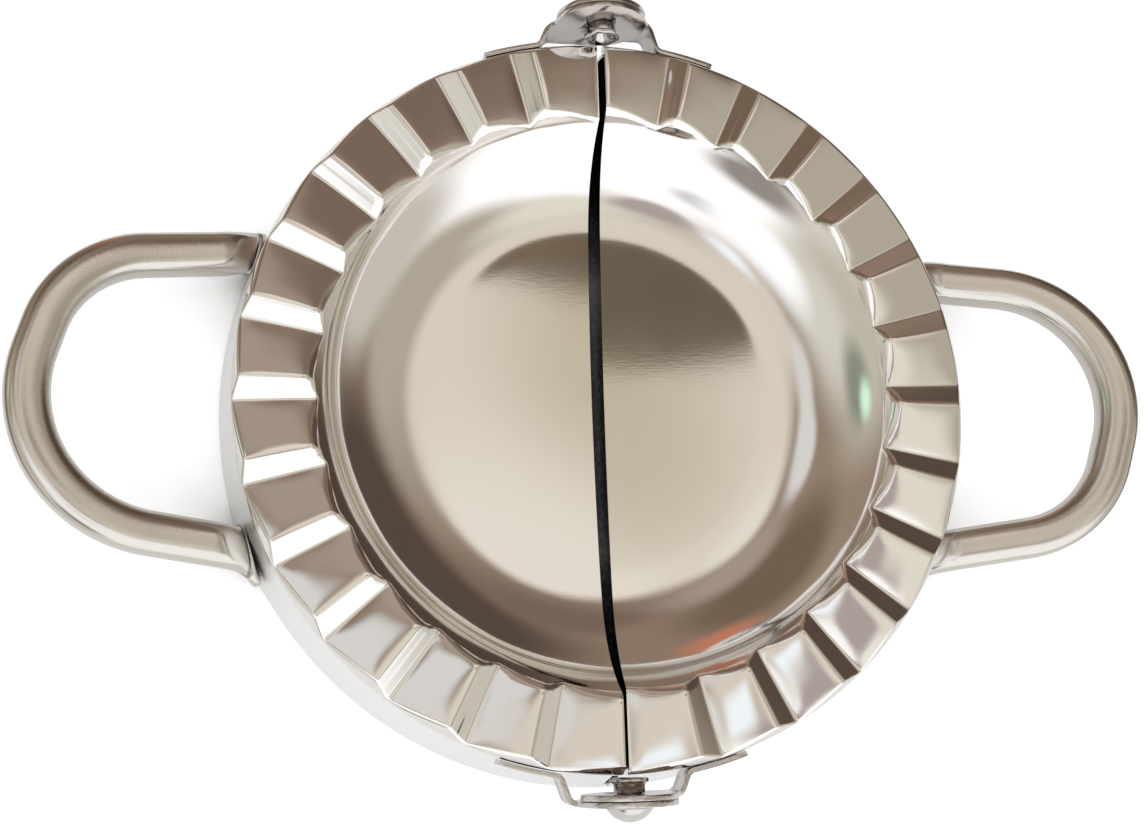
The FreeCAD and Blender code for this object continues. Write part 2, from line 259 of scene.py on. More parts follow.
# Half bowl with its pleated rim: a section turned through a half circle, and pressed down to the pleats

bowl = {
    "sheet": 0.6, "edgeBevel": 0.12, "bevelAngle": 60.0,
    # the pleats, each a land that climbs and a riser that falls
    "pleats": 14, "stepsPerPleat": 34, "pleatRise": 1.5, "riserShare": 0.26, "landStart": 38.3,
    "innerRounding": 0.7, "outerRounding": 0.6, "crestRounding": 0.5, "valleyRounding": 0.35,
    "pillow": 0.15, "pillowPower": 3.5, "dents": 0.045, "dentSize": 4.8,
    "unevenness": 0.04, "swingTurn": 2.4, "swingStart": 0.7,
    # pairs of shares that draw a pleat's columns together at its corners
    "cornerShares": ((0.18, 0.09), (0.35, 0.19), (0.65, 0.81), (0.82, 0.91)),
    # the rim's edge and lip
    "rimRadius": 47.5, "rimHeight": 16.0, "edgeLean": 30.0, "edgeBand": 1.7, "lipDrop": 1.0, "lipReach": 0.55,
    "lipShares": (0.35, 0.7, 1),
    # the step under the pleats, and the wall that it stands on
    "stepFoot": 37.45, "stepAngle": 58.0, "stepBlend": (0.15, 0.25), "stepStart": 0.3, "kneeRadius": 36.9,
    "kneeRun": 0.7, "kneeLead": 0.1, "wallAngle": 58.0, "steepestSine": 0.9,
    # the floor and its knuckle, and the slit between the halves
    "knuckleRadius": 16.8, "floorEdge": 25.2, "floorAngle": 6.4, "floorBlend": 0.2, "floorTilt": 0.009,
    "rimGap": 0.7, "floorGap": 1.7,
    # how finely the section is drawn, with the floor's points as shares of its run
    "floorShares": (0, 0.03, 0.08, 0.16, 0.28, 0.42, 0.56, 0.68, 0.76, 0.82, 0.87, 0.91, 0.95),
    "knuckleSteps": 18, "kneeSteps": 17, "stepSteps": 14, "edgeSteps": 13, "partsPerStep": 12,
}


def smoothStep(start, end, value):
    share = min(max((value - start) / (end - start), 0), 1)
    return share * share * (3 - 2 * share)


def bowlSection(size):
    lowLevel = size["rimHeight"] - size["pleatRise"] / 2
    floorSine = math.sin(math.radians(size["floorAngle"]))
    edgeSlope, stepSlope = (math.tan(math.radians(size[key])) for key in ("edgeLean", "stepAngle"))
    lowEdge = size["rimRadius"] + size["pleatRise"] / 2 * edgeSlope
    blendIn, blendOut = size["stepBlend"]

    # The flat floor runs softly into the knuckle, the knuckle into the wall, and the wall into the step
    def slopeAt(radius):
        flat = floorSine * radius / size["floorEdge"]
        knuckled = floorSine + (radius - size["floorEdge"]) / size["knuckleRadius"]
        near = max(size["floorBlend"] - abs(flat - knuckled), 0)
        sine = max(flat, knuckled) + near * near / (4 * size["floorBlend"])
        turn = math.degrees(math.asin(min(sine, size["steepestSine"])))
        onWall = smoothStep(size["kneeRadius"], size["kneeRadius"] + size["kneeRun"], radius)
        turn += (size["wallAngle"] - turn) * onWall
        onStep = smoothStep(size["stepFoot"] - blendIn, size["stepFoot"] + blendOut, radius)
        return math.tan(math.radians(turn + (size["stepAngle"] - turn) * onStep))

    def spread(start, end, steps):
        return [start + (end - start) * step / steps for step in range(steps)]

    slitEdge, wallTop = size["floorGap"] / 2, size["stepFoot"] + size["stepStart"]
    kneeStart = size["kneeRadius"] - size["kneeLead"]
    radii = ([slitEdge + (size["floorEdge"] - slitEdge) * share for share in size["floorShares"]]
             + spread(size["floorEdge"], kneeStart, size["knuckleSteps"])
             + spread(kneeStart, wallTop, size["kneeSteps"]) + [wallTop])
    levels = [0]
    parts = size["partsPerStep"]
    for inner, outer in zip(radii, radii[1:]):
        slopes = sum(slopeAt(inner + (outer - inner) * (part + 0.5) / parts) for part in range(parts))
        levels.append(levels[-1] + slopes * (outer - inner) / parts)
    lift = lowLevel + size["stepStart"] * stepSlope - levels[-1]
    points = [(radius, level + lift) for radius, level in zip(radii, levels)]

    # The step runs up to the rim's leaning edge, and the lip hangs from that. The pleats cut them lower.
    start, level = points[-1]
    bandStart = lowEdge - size["edgeBand"]
    run = spread(start, bandStart, size["stepSteps"])[1:] + spread(bandStart, lowEdge, size["edgeSteps"])
    for reach in run + [lowEdge]:
        onEdge = size["rimHeight"] + (size["rimRadius"] - reach) / edgeSlope
        points.append((reach, min(level + (reach - start) * stepSlope, onEdge)))
    for share in size["lipShares"]:
        points.append((lowEdge + (size["rimRadius"] + size["lipReach"] - lowEdge) * share,
                       lowLevel - size["lipDrop"] * share))
    return points


def halfTurnTree(cornerShares):
    tree, inputs = shapeTree("pleatedHalfTurn", ("Pleats", "Steps per pleat"), (
        "Low level", "High level", "Riser share", "Land start", "Land end", "Inner rounding",
        "Outer rounding", "Crest rounding", "Valley rounding", "Pillow", "Pillow power", "Dents",
        "Dent scale", "Unevenness", "Swing turn", "Swing start", "Floor edge", "Wall foot", "Floor tilt",
        "Rim half gap", "Rim height", "Gap slope"))
    calc = partial(mathNode, tree)
    columns = calc("ADD", calc("MULTIPLY", inputs["Pleats"], inputs["Steps per pleat"]), 1)
    grid, onSection, onTurn = gridAlong(tree, inputs["Outline"], columns)
    position = newNode(tree, "GeometryNodeInputPosition").outputs[0]
    drawn = newNode(tree, "ShaderNodeSeparateXYZ", {
        0: sampled(tree, inputs["Outline"], onSection, "FLOAT_VECTOR", position)})
    radius, envelope = drawn.outputs["X"], drawn.outputs["Z"]

    # Which pleat a column is on, and where on it, with the columns drawn together at the pleat's corners
    roundingGuard = 0.0001
    steps = calc("DIVIDE", onTurn, inputs["Steps per pleat"])
    pleat = calc("MINIMUM", calc("FLOOR", calc("ADD", steps, roundingGuard)),
                 calc("SUBTRACT", inputs["Pleats"], 1))
    part = newNode(tree, "ShaderNodeFloatCurve", {"Value": calc("SUBTRACT", steps, pleat)})
    curve = part.mapping.curves[0]
    for step, share in cornerShares:
        curve.points.new(step, share)
    for point in curve.points:
        point.handle_type = "VECTOR"
    part.mapping.update()
    place = part.outputs[0]

    # The first pleat starts with its land, and the last pleat ends with its own
    first = calc("LESS_THAN", pleat, 0.5)
    last = calc("GREATER_THAN", pleat, calc("SUBTRACT", inputs["Pleats"], 1.5))
    halfRiser = calc("DIVIDE", inputs["Riser share"], 2)
    start = calc("MULTIPLY", halfRiser, calc("SUBTRACT", 1, first))
    end = calc("SUBTRACT", 1, calc("MULTIPLY", halfRiser, calc("SUBTRACT", 1, last)))
    low = inputs["Low level"]
    swing = calc("SINE", calc("ADD", calc("MULTIPLY", pleat, inputs["Swing turn"]), inputs["Swing start"]))
    high = calc("ADD", inputs["High level"], calc("MULTIPLY", inputs["Unevenness"], swing))
    rise = calc("SUBTRACT", high, low)
    onLand = calc("DIVIDE", calc("SUBTRACT", place, start), calc("SUBTRACT", end, start))
    climb = calc("ADD", low, calc("MULTIPLY", rise, onLand))
    steep = calc("DIVIDE", rise, inputs["Riser share"])
    fallAhead = calc("SUBTRACT", high, calc("MULTIPLY", steep, calc("SUBTRACT", place, end)))
    fallBehind = calc("ADD", low, calc("MULTIPLY", steep, calc("SUBTRACT", start, place)))

    # Each land swells a little in its middle, like a pillow, and has slight dents
    def swell(share):
        off = calc("SUBTRACT", calc("MULTIPLY", calc("MINIMUM", calc("MAXIMUM", share, 0), 1), 2), 1)
        return calc("SUBTRACT", 1, calc("POWER", calc("ABSOLUTE", off), inputs["Pillow power"]))

    across = calc("DIVIDE", calc("SUBTRACT", radius, inputs["Land start"]),
                  calc("SUBTRACT", inputs["Land end"], inputs["Land start"]))
    pillow = calc("MULTIPLY", calc("MULTIPLY", swell(onLand), swell(across)), inputs["Pillow"])
    share = calc("DIVIDE", calc("ADD", pleat, place), inputs["Pleats"])
    wholeTurn = calc("MULTIPLY", share, math.pi)
    around = newNode(tree, "ShaderNodeCombineXYZ", {
        "X": calc("MULTIPLY", radius, calc("SINE", wholeTurn)),
        "Y": calc("MULTIPLY", radius, calc("COSINE", wholeTurn))})
    dents = newNode(tree, "ShaderNodeTexNoise", {
        "Vector": around.outputs[0], "Scale": inputs["Dent scale"], "Detail": 0.0})
    dent = calc("MULTIPLY", calc("SUBTRACT", dents.outputs[0], 0.5), inputs["Dents"])
    climb = calc("ADD", calc("ADD", climb, pillow), dent)
    crest = calc("SMOOTH_MIN", climb, fallAhead, inputs["Crest rounding"])
    land = calc("SMOOTH_MAX", crest, fallBehind, inputs["Valley rounding"])
    outer = calc("GREATER_THAN", across, 0.5)
    change = calc("SUBTRACT", inputs["Outer rounding"], inputs["Inner rounding"])
    rounding = calc("ADD", inputs["Inner rounding"], calc("MULTIPLY", outer, change))
    level = calc("SMOOTH_MIN", envelope, land, rounding)

    # The turn ends at the slit, which is wider at the bowl's floor, and the floor tilts a little
    halfGap = calc("ADD", inputs["Rim half gap"],
                   calc("MULTIPLY", calc("SUBTRACT", inputs["Rim height"], level), inputs["Gap slope"]))
    slit = calc("ARCSINE", calc("MINIMUM", calc("DIVIDE", halfGap, radius), 1))
    turn = calc("ADD", slit, calc("MULTIPLY", share, calc("SUBTRACT", math.pi, calc("MULTIPLY", slit, 2))))
    along = calc("MULTIPLY", radius, calc("COSINE", turn))
    tilt = smoothRamp(tree, radius, (inputs["Floor edge"], inputs["Wall foot"]), (inputs["Floor tilt"], 0.0))
    turned = newNode(tree, "ShaderNodeCombineXYZ", {
        "X": calc("MULTIPLY", calc("MULTIPLY", radius, -1), calc("SINE", turn)), "Y": along,
        "Z": calc("SUBTRACT", level, calc("MULTIPLY", along, tilt))})
    return endTree(tree, grid, turned.outputs[0], inputs["Steel"])


def turnedHalf(name, points, values):
    section = bpy.data.meshes.new(name)
    section.from_pydata([(radius * mm, 0, level * mm) for radius, level in points], [], [])
    return shapedPiece(name, section, turnTree, values)


def bowlMesh(size):
    points = bowlSection(size)
    half = size["pleatRise"] / 2
    values = {
        "Pleats": size["pleats"], "Steps per pleat": size["stepsPerPleat"], "Riser share": size["riserShare"],
        "Low level": (size["rimHeight"] - half) * mm, "High level": (size["rimHeight"] + half) * mm,
        "Pillow power": size["pillowPower"], "Dent scale": 1 / (size["dentSize"] * mm),
        "Swing turn": size["swingTurn"], "Swing start": size["swingStart"], "Floor tilt": size["floorTilt"],
        "Rim half gap": size["rimGap"] / 2 * mm,
        "Gap slope": (size["floorGap"] - size["rimGap"]) / 2 / (size["rimHeight"] - points[0][1]),
        "Steel": polishedSteel,
    }
    for name, key in (("Land start", "landStart"), ("Land end", "rimRadius"),
                      ("Inner rounding", "innerRounding"), ("Outer rounding", "outerRounding"),
                      ("Crest rounding", "crestRounding"), ("Valley rounding", "valleyRounding"),
                      ("Pillow", "pillow"), ("Dents", "dents"), ("Unevenness", "unevenness"),
                      ("Floor edge", "floorEdge"), ("Wall foot", "kneeRadius"), ("Rim height", "rimHeight")):
        values[name] = size[key] * mm
    piece = turnedHalf("halfBowl", points, values)
    mesh = applyModifiers(piece)
    with edited(mesh) as shape:
        bmesh.ops.recalc_face_normals(shape, faces=shape.faces)
        middle = min(shape.faces, key=lambda face: face.calc_center_median().length)
        if middle.normal.z < 0:
            bmesh.ops.reverse_faces(shape, faces=shape.faces)
    mesh.shade_smooth()
    thick = piece.modifiers.new("sheet", "SOLIDIFY")
    thick.thickness = size["sheet"] * mm
    thick.offset = -1
    soften(piece, size["edgeBevel"], size["bevelAngle"])
    return finishedMesh(piece)


turnTree = halfTurnTree(bowl["cornerShares"])
bowlShape = bowlMesh(bowl)
newPiece("leftHalfBowl", bowlShape, polishedSteel, "left_half", "stamped_steel", "left_bowl")
newPiece("rightHalfBowl", turnedCopy(bowlShape, "rightHalfBowl"), polishedSteel, "right_half",
         "stamped_steel", "right_bowl")
print("bowls turned:", len(bowlShape.polygons), "faces each")


# Half ring under the rim, with its cutting edge. The bowl's tree turns it, with the pleats far above it.

ring = {
    "topRadius": 47.19, "topLevel": 14.6, "edgeRadius": 49.99, "bevelLevel": 0.9, "sheet": 0.6,
    "cuttingEdge": 0.22, "slitGap": 0.9, "stepsPerPleat": 12, "riserShare": 1.0, "clearOfPleats": 1000.0,
    "edgeBevel": 0.1, "bevelAngle": 25.0,
}


def ringMesh(size):
    outer, inner = size["edgeRadius"], size["edgeRadius"] - size["sheet"]
    top = (size["topRadius"], size["topLevel"])
    points = [top, (outer, size["bevelLevel"]), (inner + size["cuttingEdge"], 0), (inner, 0),
              (inner, size["bevelLevel"]), (size["topRadius"] - size["sheet"], size["topLevel"]), top]
    far = size["clearOfPleats"] * mm
    piece = turnedHalf("halfRing", points, {
        "Pleats": bowl["pleats"], "Steps per pleat": size["stepsPerPleat"], "Riser share": size["riserShare"],
        "Low level": far, "High level": far, "Land start": 0.0, "Land end": far, "Wall foot": far,
        "Rim half gap": size["slitGap"] / 2 * mm, "Steel": ringSteel,
    })
    with edited(applyModifiers(piece)) as shape:
        bmesh.ops.remove_doubles(shape, verts=shape.verts, dist=weldReach)
        bmesh.ops.holes_fill(shape, edges=[edge for edge in shape.edges if edge.is_boundary])
        bmesh.ops.recalc_face_normals(shape, faces=shape.faces)
    soften(piece, size["edgeBevel"], size["bevelAngle"])
    return finishedMesh(piece)


ringShape = ringMesh(ring)
newPiece("leftCuttingRing", ringShape, ringSteel, "left_half", "ring_steel", "left_cutting_ring")
newPiece("rightCuttingRing", turnedCopy(ringShape, "rightCuttingRing"), ringSteel, "right_half",
         "ring_steel", "right_cutting_ring")
print("cutting rings turned")


# Handles: a squared bar bent to a loop, each end flattened to a foot that is turned down on the ring

handle = {
    "rootReach": 50.49, "rootHeight": 7.2, "rise": 14.0, "length": 23.4, "noseLean": 17.0,
    "noseStraight": 3.3, "backBend": 14.2, "bendSteps": 24,
    "legs": ({"spread": 18.1, "splay": 8.4}, {"spread": 19.7, "splay": 6.7}),
    "halfWidth": 2.80, "halfHeight": 2.56, "squareness": 2.8, "sides": 40,
    # the feet
    "footHalfWidths": (4.2, 3.0), "footHalfThickness": 0.65, "footTurn": 1.6, "footEnd": 1.5, "ringGap": 0.05,
    "bendRun": 6.2, "bendLead": 0.3, "bendRaise": 0.5, "footSteps": 14, "searchStep": 0.02,
    "flattenFromShare": 0.1, "widenFromShare": 0.45,
    # how far down a foot is, as a share, with its width there, as a share
    "footShares": ((0.35, 1), (0.7, 0.97), (0.86, 0.88), (0.95, 0.72), (1.0, 0.5), (1.0, 0)),
}


def loftTree():
    tree, inputs = shapeTree("sectionsAlongPath", ("Sides", "Lobes"), ("Squareness",))
    calc = partial(mathNode, tree)
    around = calc("ADD", inputs["Sides"], 1)
    grid, onPath, onSection = gridAlong(tree, inputs["Outline"], around)
    turn = calc("MULTIPLY", calc("DIVIDE", onSection, inputs["Sides"]), 2 * math.pi)

    def onOutline(kind, value):
        return sampled(tree, inputs["Outline"], onPath, kind, value)

    def named(kind, name):
        node = newNode(tree, "GeometryNodeInputNamedAttribute", {"Name": name}, data_type=kind)
        return onOutline(kind, node.outputs["Attribute"])

    def squared(value):
        size = calc("POWER", calc("ABSOLUTE", value), calc("DIVIDE", 2.0, inputs["Squareness"]))
        return calc("MULTIPLY", calc("SIGN", value), size)

    wave = calc("COSINE", calc("MULTIPLY", turn, inputs["Lobes"]))
    lobe = calc("ADD", 1.0, calc("MULTIPLY", named("FLOAT", "lobe"), wave))
    place = onOutline("FLOAT_VECTOR", newNode(tree, "GeometryNodeInputPosition").outputs[0])
    for name, operation in (("across", "COSINE"), ("upwards", "SINE")):
        factor = calc("MULTIPLY", squared(calc(operation, turn)), lobe)
        place = vectorNode(tree, "ADD", place, scaledVector(tree, named("FLOAT_VECTOR", name), factor))
    return endTree(tree, grid, place, inputs["Steel"])


def loftMesh(name, sections, size, steel):
    path = bpy.data.meshes.new(name)
    path.from_pydata([section["centre"] * mm for section in sections], [], [])
    for key in ("across", "upwards"):
        values = path.attributes.new(key, "FLOAT_VECTOR", "POINT")
        for point, section in zip(values.data, sections):
            point.vector = section[key] * mm
    values = path.attributes.new("lobe", "FLOAT", "POINT")
    for point, section in zip(values.data, sections):
        point.value = section.get("lobe", 0.0)
    mesh = finishedMesh(shapedPiece(name, path, sectionTree, {
        "Sides": size["sides"], "Squareness": size["squareness"], "Lobes": size.get("petals", 0),
        "Steel": steel}))
    with edited(mesh) as shape:
        bmesh.ops.recalc_face_normals(shape, faces=shape.faces)
        if shape.calc_volume(signed=True) < 0:
            bmesh.ops.reverse_faces(shape, faces=shape.faces)
    mesh.shade_smooth()
    return mesh


def halfBendAt(before, corner, after):
    return (math.pi - (before - corner).angle(after - corner)) / 2


def loopCorners(size, inPlane):
    # Each leg's line meets the nose's line, in the flat drawing of the loop
    lean = math.tan(math.radians(size["noseLean"]))
    roots, bends = [], []
    for side, leg in zip((-1, 1), size["legs"]):
        splay = math.tan(math.radians(leg["splay"]))
        reach = (size["length"] - side * leg["spread"] * lean) / (1 - side * splay * lean)
        roots.append(inPlane(0, side * leg["spread"]))
        bends.append(inPlane(reach, side * (leg["spread"] - reach * splay)))
    return roots, bends


def footSections(size, root, bend, footHalfWidth):
    inward = (root - bend).normalized()
    flare = math.atan((ring["edgeRadius"] - ring["topRadius"]) / (ring["topLevel"] - ring["bevelLevel"]))

    def ringRadius(level):
        return ring["edgeRadius"] - (level - ring["bevelLevel"]) * math.tan(flare)

    # The leg runs on to the ring, where its end turns down
    reach = 0
    while math.hypot(*(root + inward * reach).xy) > ringRadius((root + inward * reach).z):
        reach += size["searchStep"]
    meeting = root + inward * reach
    out = Vector((meeting.x, meeting.y, 0)).normalized()
    face = out * math.cos(flare) + Vector((0, 0, math.sin(flare)))
    legAcross = Vector((-inward.y, inward.x, 0)).normalized()
    tangent = Vector((-out.y, out.x, 0))
    if legAcross.dot(tangent) < 0:
        tangent = -tangent

    def onRing(level):
        skin = out * (ringRadius(level) + size["ringGap"]) + Vector((0, 0, level))
        return skin + face * size["footHalfThickness"]

    start = meeting - inward * size["bendRun"]
    turned = onRing(meeting.z - size["footTurn"])
    corner = meeting - inward * (size["footHalfThickness"] + size["bendLead"])
    corner.z += size["bendRaise"]
    sections = []
    for step in range(1, size["footSteps"] + 1):
        share = step / size["footSteps"]
        centre = start * (1 - share) ** 2 + corner * (2 * share * (1 - share)) + turned * share ** 2
        direction = (corner - start) * (1 - share) + (turned - corner) * share
        across = (legAcross * (1 - share) + tangent * share).normalized()
        thick = across.cross(direction).normalized()
        if thick.dot(face + Vector((0, 0, 1))) < 0:
            thick = -thick
        wide = smoothStep(size["widenFromShare"], 1.0, share)
        flat = smoothStep(size["flattenFromShare"], 1.0, share)
        width = size["halfWidth"] + (footHalfWidth - size["halfWidth"]) * wide
        height = size["halfHeight"] + (size["footHalfThickness"] - size["halfHeight"]) * flat
        sections.append({"centre": centre, "across": across * width, "upwards": thick * height})
    for drop, width in size["footShares"]:
        level = turned.z + (size["footEnd"] - turned.z) * drop
        sections.append({"centre": onRing(level), "across": tangent * footHalfWidth * width,
                         "upwards": face * size["footHalfThickness"] * (1 if width else 0)})
    return start, sections


def bentLine(size, corners, ends):
    # The bar's middle line: the two bends of the loop, between the ends of the legs
    backRun = size["backBend"] * math.tan(halfBendAt(*corners[1:]))
    frontRun = (corners[2] - corners[1]).length - size["noseStraight"] - backRun
    frontBend = frontRun / math.tan(halfBendAt(*corners[:3]))
    line = [ends[0]]
    for before, corner, after, bend in zip(corners, corners[1:], corners[2:], (frontBend, size["backBend"])):
        half = halfBendAt(before, corner, after)
        back, onward = (before - corner).normalized(), (after - corner).normalized()
        entry = corner + back * bend * math.tan(half)
        leave = corner + onward * bend * math.tan(half)
        towards = (back + onward).normalized()
        sideways = (leave - entry).normalized()
        centre = corner + towards * bend / math.cos(half)
        for step in range(size["bendSteps"] + 1):
            swing = half * (2 * step / size["bendSteps"] - 1)
            line.append(centre + (sideways * math.sin(swing) - towards * math.cos(swing)) * bend)
    return line + [ends[1]]


def handleSections(size):
    rise = math.radians(size["rise"])
    upwards = Vector((math.sin(rise), 0, math.cos(rise)))

    def inPlane(x, y):
        return Vector((-size["rootReach"] - x * math.cos(rise), y, size["rootHeight"] + x * math.sin(rise)))

    roots, bends = loopCorners(size, inPlane)
    starts, feet = zip(*(footSections(size, root, bend, width)
                         for root, bend, width in zip(roots, bends, size["footHalfWidths"])))
    line = bentLine(size, [roots[0], *bends, roots[1]], starts)
    sections = []
    for point, following in zip(line, line[1:] + [line[-1] * 2 - line[-2]]):
        across = upwards.cross((following - point).normalized()).normalized()
        sections.append({"centre": point, "across": across * size["halfWidth"],
                         "upwards": upwards * size["halfHeight"]})

    # The feet's sections count round the same way as the bar's next to them
    for foot, neighbour in zip(feet, (sections[0], sections[-1])):
        for section in foot:
            if section["across"].dot(neighbour["across"]) < 0:
                section["across"] = -section["across"]
    return feet[0][::-1] + sections + feet[1]


sectionTree = loftTree()
handleShape = loftMesh("handle", handleSections(handle), handle, satinSteel)
newPiece("leftHandle", handleShape, satinSteel, "left_half", "bar_steel", "left_handle")
newPiece("rightHandle", turnedCopy(handleShape, "rightHandle"), satinSteel, "right_half", "bar_steel",
         "right_handle")
print("handles bent")


# Hinge plates keep the frame's shapes, with their edges eased

plates = {"edgeBevel": 0.12, "bevelAngle": 35.0, "flatWithin": 1.0}


def easedCopy(node, size):
    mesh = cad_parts[node].data.copy()
    with edited(mesh) as shape:
        bmesh.ops.remove_doubles(shape, verts=shape.verts, dist=weldReach)
        bmesh.ops.dissolve_limit(shape, angle_limit=math.radians(size["flatWithin"]), verts=shape.verts,
                                 edges=shape.edges)
    piece = linkedObject(node, mesh)
    soften(piece, size["edgeBevel"], size["bevelAngle"])
    return finishedMesh(piece)


for half in ("left", "right"):
    for kind, title in (("outer", "Outer"), ("inner", "Inner")):
        node = half + "_" + kind + "_hinge_plate"
        newPiece(half + title + "HingePlate", easedCopy(node, plates), hingeSteel, half + "_half",
                 "plate_steel", node)
print("hinge plates eased")


# Hinge rivets: a domed head, a shank, and a tail rolled over in petals

rivet = {
    "level": 16.7, "shankRadius": 1.5, "sides": 60, "squareness": 2.0,
    "headSeat": 51.62, "headRadius": 3.0, "headHeight": 1.9, "headSteps": 12,
    "headEdge": ((0.08, 0.01), (0, 0.12)),
    "tailSeat": 50.0, "tailHeight": 1.75, "tailRadius": 2.3, "neckRadius": 1.9, "petals": 6,
    "petalDepth": 0.07,
    # the rolled rim, with shares of its thickness by which its parts stand in from the tail's edge
    "tailRim": 0.5, "rimShares": {"foot": 0.75, "side": 0.3, "crest": 0.5}, "rimFoot": 0.25, "rimSteps": 8,
    # the mouth in the rolled tail, whose edge is given in depths and in steps out from its radius
    "mouthRadius": 1.3, "mouthDepth": 1.6, "mouthEdge": ((0.12, 0.1), (0.35, -0.1)),
    "pitShare": 0.8, "pitRadii": (0.7, 0.3),
}


def rivetSections(size):
    seat, radius = size["headSeat"], size["headRadius"]
    dome = (radius ** 2 + size["headHeight"] ** 2) / (2 * size["headHeight"])
    fullTurn = math.asin(radius / dome)
    centre = seat + size["headHeight"] - dome
    turns = [fullTurn * step / size["headSteps"] for step in range(size["headSteps"] + 1)]
    line = [(centre + dome * math.cos(turn), dome * math.sin(turn), 0) for turn in turns]
    line += [(seat + lift, radius - tuck, 0) for lift, tuck in size["headEdge"]]
    line += [(seat, size["shankRadius"], 0), (size["tailSeat"], size["shankRadius"], 0),
             (size["tailSeat"], size["neckRadius"], 0)]

    top = size["tailSeat"] - size["tailHeight"]
    edge, rim, inset, petal = size["tailRadius"], size["tailRim"], size["rimShares"], size["petalDepth"]
    line += [(top + rim + size["rimFoot"], edge - rim * inset["foot"], petal / 3),
             (top + rim, edge - rim * inset["side"], petal)]
    for step in range(1, size["rimSteps"]):
        turn = math.pi * step / size["rimSteps"]
        line.append((top + rim / 2 + rim / 2 * math.cos(turn),
                     edge - rim * inset["side"] + rim * inset["side"] * math.sin(turn), petal))
    (lipDepth, lipReach), (throatDepth, throatReach) = size["mouthEdge"]
    pit, (pitRadius, pitEnd) = top + size["mouthDepth"], size["pitRadii"]
    line += [(top, edge - rim * inset["crest"], petal),
             (top + lipDepth, size["mouthRadius"] + lipReach, petal / 2),
             (top + throatDepth, size["mouthRadius"] + throatReach, 0),
             (top + size["mouthDepth"] * size["pitShare"], pitRadius, 0), (pit, pitEnd, 0), (pit, 0, 0)]
    return [{"centre": Vector((0, -reach, size["level"])), "across": Vector((width, 0, 0)),
             "upwards": Vector((0, 0, width)), "lobe": lobe} for reach, width, lobe in line]


rivetShape = loftMesh("hingeRivet", rivetSections(rivet), rivet, brightSteel)
newPiece("frontHingeRivet", rivetShape, brightSteel, "left_half", "rivet_steel", "front_hinge_rivet")
newPiece("backHingeRivet", turnedCopy(rivetShape, "backHingeRivet"), brightSteel, "left_half",
         "rivet_steel", "back_hinge_rivet")
print("rivets turned")


# Camera, in millimetres and radians

shot = {"place": (-40.95, -40.66, 199.8), "turns": (0.203, -0.187, 0.007), "focalPixels": 1500,
        "widthPixels": 1145, "sensor": 36.0, "nearest": 10.0}


def photoCamera(size):
    data = bpy.data.cameras.new("photoCamera")
    data.sensor_width = size["sensor"]
    data.lens = size["sensor"] * size["focalPixels"] / size["widthPixels"]
    data.clip_start = size["nearest"] * mm
    camera = linkedObject("photoCamera", data)
    camera.location = Vector(size["place"]) * mm
    camera.rotation_mode = "ZYX"
    camera.rotation_euler = Euler(size["turns"], "ZYX")
    bpy.context.scene.camera = camera


# Table: it shows a little paler to the camera out in the open, and painted shade darkens its colour deep
# under the press.
# Painted reflection: to glossy rays the table shows brown far off and away from the window, so the steel
# mirrors a brown room.

table = {"reach": 1500.0, "colour": (0.97, 0.97, 0.965), "shadeReach": 30.0, "shadeSamples": 16,
         "paintedShadeFrom": (0.22, 0.42), "paintedShadeUnder": 0.01, "paleFrom": (0.25, 0.6), "lift": 0.35,
         "paintedReflectionFrom": (80.0, 120.0), "paintedReflectionBackFrom": (-90.0, -20.0), "paintedReflectionColour": (0.26, 0.19, 0.145)}


def paleTable(size):
    mesh = bpy.data.meshes.new("table")
    reach = size["reach"] * mm
    corners = ((-reach, -reach), (reach, -reach), (reach, reach), (-reach, reach))
    mesh.from_pydata([(x, y, cadBox[0].z) for x, y in corners], [], [(0, 1, 2, 3)])
    floor = linkedObject("table", mesh)
    material, tree, shader = newMaterial("paleTable")
    path = newNode(tree, "ShaderNodeLightPath").outputs
    openness = newNode(tree, "ShaderNodeAmbientOcclusion", {"Distance": size["shadeReach"] * mm},
                       samples=size["shadeSamples"]).outputs["AO"]
    place = newNode(tree, "ShaderNodeTexCoord").outputs["Object"]
    backwards = newNode(tree, "ShaderNodeSeparateXYZ", {0: place}).outputs["Y"]

    def rampOut(value, limits):
        return smoothRamp(tree, value, [limit * mm for limit in limits], (0.0, 1.0))

    # Painted reflection: only glossy rays see the table brown, far off and away from the window
    far = mathNode(tree, "MULTIPLY", rampOut(vectorNode(tree, "LENGTH", place), size["paintedReflectionFrom"]),
                   rampOut(backwards, size["paintedReflectionBackFrom"]))
    paintedReflectionMask = mathNode(tree, "MULTIPLY", far, path["Is Glossy Ray"])
    # Painted shade: the table's colour darkens where the press closes it in from the light
    paintedShade = smoothRamp(tree, openness, size["paintedShadeFrom"], (size["paintedShadeUnder"], 1.0))
    pale = smoothRamp(tree, openness, size["paleFrom"], (0.0, size["lift"]))
    colour = scaledVector(tree, colourMix(tree, paintedReflectionMask, size["colour"], size["paintedReflectionColour"]), paintedShade)
    for socket, value in (("Base Color", colour), ("Roughness", 1.0), ("Specular IOR Level", 0.0),
                          ("Emission Color", (1, 1, 1, 1)),
                          ("Emission Strength", mathNode(tree, "MULTIPLY", pale, path["Is Camera Ray"]))):
        plug(tree, shader.inputs[socket], value)
    mesh.materials.append(material)


# What the polished steel mirrors. Each patch of the room is placed by its azimuth and height in degrees, and
# fades out from its core to its reach. A stretch above 1 makes it narrower along that axis.

